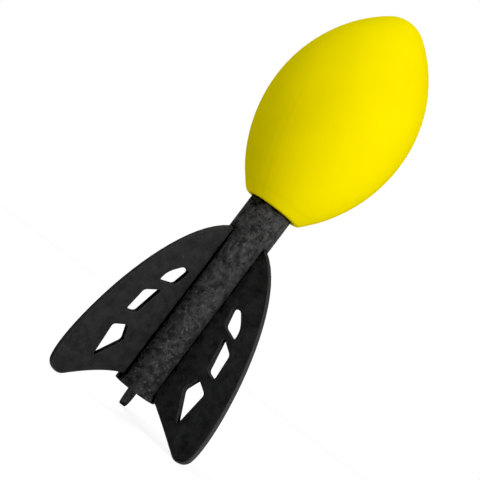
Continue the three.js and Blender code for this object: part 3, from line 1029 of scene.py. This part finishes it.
def cutout_knots(shares, scale, turn, shift, bowed_corner=None):
    """A cutout with rounded corners, clockwise, turned and shifted with its row."""
    corners = [on_fin(*share) for share in shares]
    middle = sum(corners, Vector((0, 0))) / len(corners)
    row_middle = on_fin(*ROW_MIDDLE_SHARES)
    row_turn = Matrix.Rotation(turn, 2)
    corners = [middle + (corner - middle) * scale for corner in corners]
    corners = [row_middle + row_turn @ (corner - row_middle) + Vector(shift) for corner in corners]
    knots = []
    for i, corner in reversed(list(enumerate(corners))):
        cut = BOWED_CUT if i == bowed_corner else CORNER_CUT
        for neighbour, ends in ((corners[(i + 1) % len(corners)], False), (corners[i - 1], True)):
            side = neighbour - corner
            place = corner + side.normalized() * min(cut, side.length / 2)
            towards = place.lerp(corner, 2 / 3)
            knots.append((towards, place, place) if ends else (place, place, towards))
    return knots


def add_loop(curve, knots, resolution):
    """A closed Bezier loop. A knot is its place between its two handles, in the sheet's plane."""
    spline = curve.splines.new("BEZIER")
    spline.bezier_points.add(len(knots) - 1)
    for point, (left, place, right) in zip(spline.bezier_points, knots):
        point.handle_left_type = "FREE"
        point.handle_right_type = "FREE"
        point.co = (*place, 0)
        point.handle_left = (*left, 0)
        point.handle_right = (*right, 0)
    spline.use_cyclic_u = True
    spline.resolution_u = resolution


def fin_curve(name, trailing_angle, heel, *row):
    """A fin's curves. The row's values are its cutouts' scale, turn and shift."""
    curve = bpy.data.curves.new(name, "CURVE")
    curve.dimensions = "2D"
    add_loop(curve, outline_knots(trailing_angle, heel), OUTLINE_RESOLUTION)
    add_loop(curve, cutout_knots(TOP_CUTOUT, *row, TOP_BOWED_CORNER), CUTOUT_RESOLUTION)
    add_loop(curve, cutout_knots(MIDDLE_CUTOUT, *row), CUTOUT_RESOLUTION)
    add_loop(curve, cutout_knots(LOWER_CUTOUT, *row), CUTOUT_RESOLUTION)
    return curve


# %% The stamped sheet recipe: two faces
stamping, given = new_recipe(
    "stamped sheet",
    Float=["Thickness", "Edge Radius", "Azimuth", "Bow", "Curl", "Wear"],
    Material=["Face Finish", "Edge Finish"],
)
half = add_product(stamping, given["Thickness"], 0.5)
inner_half = add_math(stamping, "SUBTRACT", half, given["Edge Radius"])
minus_half, minus_inner, minus_radius = (
    add_product(stamping, length, -1.0) for length in (half, inner_half, given["Edge Radius"])
)
curve_normal = add_field(stamping, "Normal")
shrink = add_scaled(stamping, curve_normal, minus_radius)
inset = reshape(stamping, "SetPosition", given["Geometry"], Offset=shrink)
filled = reshape(stamping, "FillCurve", inset)
top_face = reshape(stamping, "Transform", filled, Translation=add_vector(stamping, z=half))
low_face = reshape(stamping, "Transform", filled, Translation=add_vector(stamping, z=minus_half))
faces = join_shapes(stamping, top_face, reshape(stamping, "FlipFaces", low_face))
painted_faces = reshape(stamping, "SetMaterial", faces, Material=given["Face Finish"])

# %% The stamped sheet recipe: the edge's profile
RUBBED_FROM, RUBBED_TO = 0.0012, 0.0018  # from the sheet's middle, over which wall becomes corner
CORNER_POINTS, WALL_POINTS = 5, 9


def rounded_corner(start, across_height):
    """A quarter round of the edge's profile, starting at that angle, with its centre at that height."""
    inputs = {"Resolution": CORNER_POINTS, "Radius": given["Edge Radius"]}
    inputs |= {"Start Angle": start, "Sweep Angle": math.pi / 2}
    quarter = add_node(stamping, "GeometryNodeCurveArc", inputs, mode="RADIUS").outputs[0]
    centre = add_vector(stamping, minus_radius, across_height)
    return reshape(stamping, "Transform", quarter, Translation=centre)


wall_ends = {"Start": add_vector(stamping, y=minus_inner), "End": add_vector(stamping, y=inner_half)}
wall = add_node(stamping, "GeometryNodeCurvePrimitiveLine", wall_ends).outputs[0]
wall_points = reshape(stamping, "ResampleCurve", wall, Count=WALL_POINTS)
low_corner = rounded_corner(-math.pi / 2, minus_inner)
top_corner = rounded_corner(0.0, inner_half)
profile = join_shapes(stamping, low_corner, wall_points, top_corner)
curve_place = add_split(stamping, add_field(stamping, "Position"))
corner_share = add_range(stamping, add_gap(stamping, curve_place["Y"]), RUBBED_FROM, RUBBED_TO)
rubbed = store_mark(stamping, profile, "corner", corner_share)

# %% [markdown]
# The scuffs are marked on the outline itself before the profile is swept along it. The curve's normal says
# which way the edge faces there: down, where the toy lands, or out, where it rubs along the ground.

# %% The stamped sheet recipe: scuffs
LANDED_FROM, LANDED_TO = -0.4, -0.8  # of the normal's height
RUBBING_FROM, RUBBING_TO = 0.2, 0.6  # of the normal's reach
RUBBING_IN, RUBBING_OUT = 0.022, 0.012  # metres inside the tip's outermost point
RUBBING_HIGH, RUBBING_LOW = 0.075, 0.03  # metres above the tail's end

edge_faces = add_split(stamping, curve_normal)
landed = add_product(
    stamping,
    add_range(stamping, edge_faces["Y"], LANDED_FROM, LANDED_TO),
    add_range(stamping, curve_place["Y"], ROOT_MARGIN, 0.0),
)
worn = add_product(
    stamping,
    add_range(stamping, edge_faces["X"], RUBBING_FROM, RUBBING_TO),
    given["Wear"],
    add_range(stamping, curve_place["X"], TIP_REACH - RUBBING_IN, TIP_REACH - RUBBING_OUT),
    add_range(stamping, curve_place["Y"], RUBBING_HIGH, RUBBING_LOW),
)
scuffs = add_math(stamping, "MAXIMUM", landed, worn)
scuffing = store_mark(stamping, given["Geometry"], "scuffed", scuffs)

# %% The stamped sheet recipe: edge, bow and curl
swept = {"Curve": scuffing, "Profile Curve": rubbed}
band = add_node(stamping, "GeometryNodeCurveToMesh", swept).outputs[0]
smooth_band = reshape(stamping, "SetShadeSmooth", band)
painted_band = reshape(stamping, "SetMaterial", smooth_band, Material=given["Edge Finish"])
sheet = join_shapes(stamping, painted_faces, painted_band)
welded = reshape(stamping, "MergeByDistance", sheet, Distance=WELD)
reach = add_split(stamping, add_field(stamping, "Position"))["X"]
share = add_range(stamping, reach, sleeve_radius, TIP_REACH)
hump = add_product(stamping, share, add_math(stamping, "SUBTRACT", 1.0, share), 4.0)
bow = add_product(stamping, hump, given["Bow"])
curl = add_product(stamping, add_math(stamping, "POWER", share, 3.0), given["Curl"])
warp = add_vector(stamping, z=add_math(stamping, "ADD", bow, curl))
warped = reshape(stamping, "SetPosition", welded, Offset=warp)
stand = add_vector(stamping, x=math.pi / 2, z=given["Azimuth"])
end_recipe(stamping, reshape(stamping, "Transform", warped, Rotation=stand))

# %% [markdown]
# ### Three fins
# Soft sheet never stays flat. Each fin bows a little between its root and its tip, and the fin behind the
# tail also curls the other way at its tip. No two are stamped quite alike either. On two of them the row of
# cutouts is turned by about a degree and shifted by less than a millimetre, and one's cutouts are smaller.
# The right fin has a straighter trailing edge, which ends in a small heel below its slot.

# %% Three fins
BOWS = (-0.0003, -0.0014, 0.0003)  # metres, halfway out
CURLS = (-0.00018, 0.0009, 0.00018)  # metres, at the tip
WEARS = (0.42, 0.32, 0.0)  # of the outer edge, from 0 to 1
TRAILING_ANGLES = (-121, -130, -130)  # degrees, on the tip's arc
HEELS = (0.0019, 0.0, 0.0)
CUTOUT_SCALES = (1.01, 1.0, 0.935)
CUTOUT_TURNS = (-0.9, 0.0, 1.0)  # degrees, in the sheet's plane
CUTOUT_SHIFTS = ((0.0, -0.0006), (0.0, 0.0), (-0.0005, 0.0008))

for i, azimuth in enumerate(fin_azimuths):
    number = i + 1
    trailing_angle = math.radians(TRAILING_ANGLES[i])
    row = CUTOUT_SCALES[i], math.radians(CUTOUT_TURNS[i]), CUTOUT_SHIFTS[i]
    fin = grow(
        f"fin_sheet_{number}",
        fin_curve(f"fin outline {number}", trailing_angle, HEELS[i], *row),
        stamping,
        thickness=fin_thickness,
        edge_radius=EDGE_RADIUS,
        azimuth=azimuth,
        bow=BOWS[i],
        curl=CURLS[i],
        wear=WEARS[i],
        face_finish=fin_face,
        edge_finish=fin_edge,
    )
    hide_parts(f"fin_{number}")
    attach(fin, "root")

# %% [markdown]
# ## Core and plugs
# The core tube and its anchor are hidden in the foam. Their CAD solids have the right shape, so they stay
# and get a plastic finish. The tail plug shows from below, so it is turned again with a softer rim, a
# shallow dish and the small mark that the mould's gate leaves in the middle.

# %% Core and plugs
for node_name in ("core_tube", "anchor_plug"):
    for material_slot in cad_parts[node_name].material_slots:
        material_slot.material = natural_plastic

DISH_RADIUS = 0.0046
DISH_DEPTH = 0.0004
GATE_RADIUS, GATE_TOP_SHARE = 0.0009, 0.8
PLUG_EASE = 0.0006
SPIGOT_INSET = 0.0018  # the core's wall with the plug's clearance
plug_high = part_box("tail_plug")[1]
flange_top = core_low.z - FIT_GAP
spigot_radius = core_radius - SPIGOT_INSET

plug_outline = (
    [(0, plug_high.z), (spigot_radius - PLUG_EASE, plug_high.z)]
    + arc((spigot_radius - PLUG_EASE, plug_high.z - PLUG_EASE), PLUG_EASE, math.pi / 2, 0, FINEST_STEP)[1:]
    + [(spigot_radius, flange_top), (core_radius, flange_top)]
    + arc((core_radius - PLUG_EASE, PLUG_EASE), PLUG_EASE, 0, -math.pi / 2, FINEST_STEP)
    + [(DISH_RADIUS + DISH_DEPTH, 0.0), (DISH_RADIUS, DISH_DEPTH)]
    + [(GATE_RADIUS, DISH_DEPTH), (GATE_RADIUS * GATE_TOP_SHARE, DISH_DEPTH / 2), (0, DISH_DEPTH / 2)]
)
plug_start = outline_mesh("plug outline", plug_outline)
plug = grow("end_plug", plug_start, turning, segments=72, finish=black_plastic)
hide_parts("tail_plug")
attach(plug, "root")
